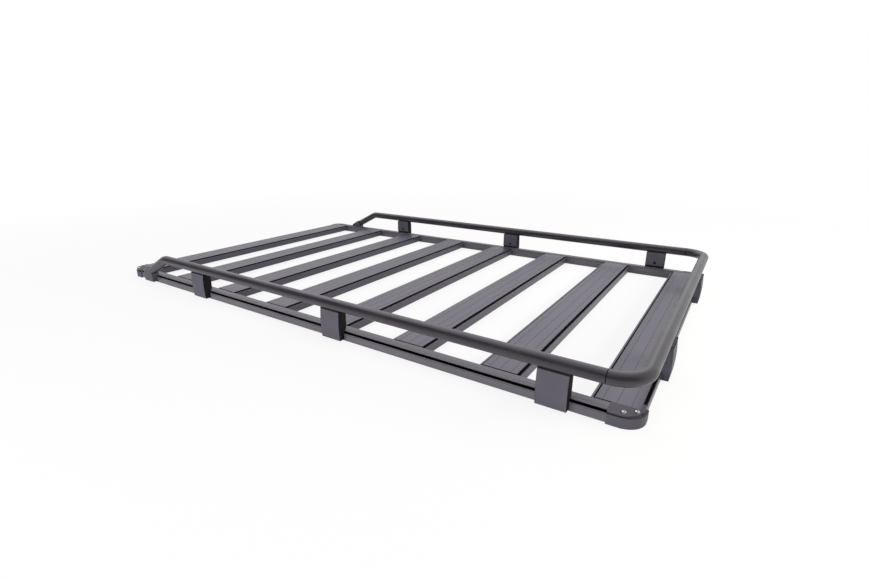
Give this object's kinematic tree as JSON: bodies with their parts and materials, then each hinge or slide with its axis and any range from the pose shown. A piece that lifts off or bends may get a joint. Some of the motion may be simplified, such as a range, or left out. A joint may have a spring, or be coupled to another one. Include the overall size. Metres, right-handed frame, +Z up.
{
  "type": "flat platform roof rack",
  "caption": "Flat slatted platform rack with slotted side beams, cast rounded corners and a tube guard rail on three sides, open at the rear.",
  "frame": {"origin": "middle of the bounding box, at the underside of the corner castings", "axes": "+X to the front of the rack, +Y to its left side, +Z up; mirror plane at Y = 0"},
  "size_m": [2.1514, 1.332, 0.134],
  "materials": {
    "deck_black": "fine textured black powder coat on ribbed aluminium extrusion",
    "beam_black": "satin black powder coat on aluminium extrusion",
    "tube_black": "satin black powder coat on bent tube",
    "cast_black": "satin black powder coat on castings"
  },
  "bodies": {
    "root": {"rear_slat": "deck_black", "slat_2": "deck_black", "slat_3": "deck_black", "slat_4": "deck_black", "slat_5": "deck_black", "slat_6": "deck_black", "slat_7": "deck_black", "front_slat": "deck_black", "left_side_beam": "beam_black", "right_side_beam": "beam_black", "front_left_corner": "cast_black", "front_right_corner": "cast_black", "rear_left_corner": "cast_black", "rear_right_corner": "cast_black", "left_rail": "tube_black", "right_rail": "tube_black", "front_rail": "tube_black", "left_rear_bracket": "cast_black", "left_middle_bracket": "cast_black", "left_front_bracket": "cast_black", "right_rear_bracket": "cast_black", "right_middle_bracket": "cast_black", "right_front_bracket": "cast_black", "nose_left_bracket": "cast_black", "nose_right_bracket": "cast_black", "left_rail_foot": "cast_black", "right_rail_foot": "cast_black"}
  },
  "joints": []
}
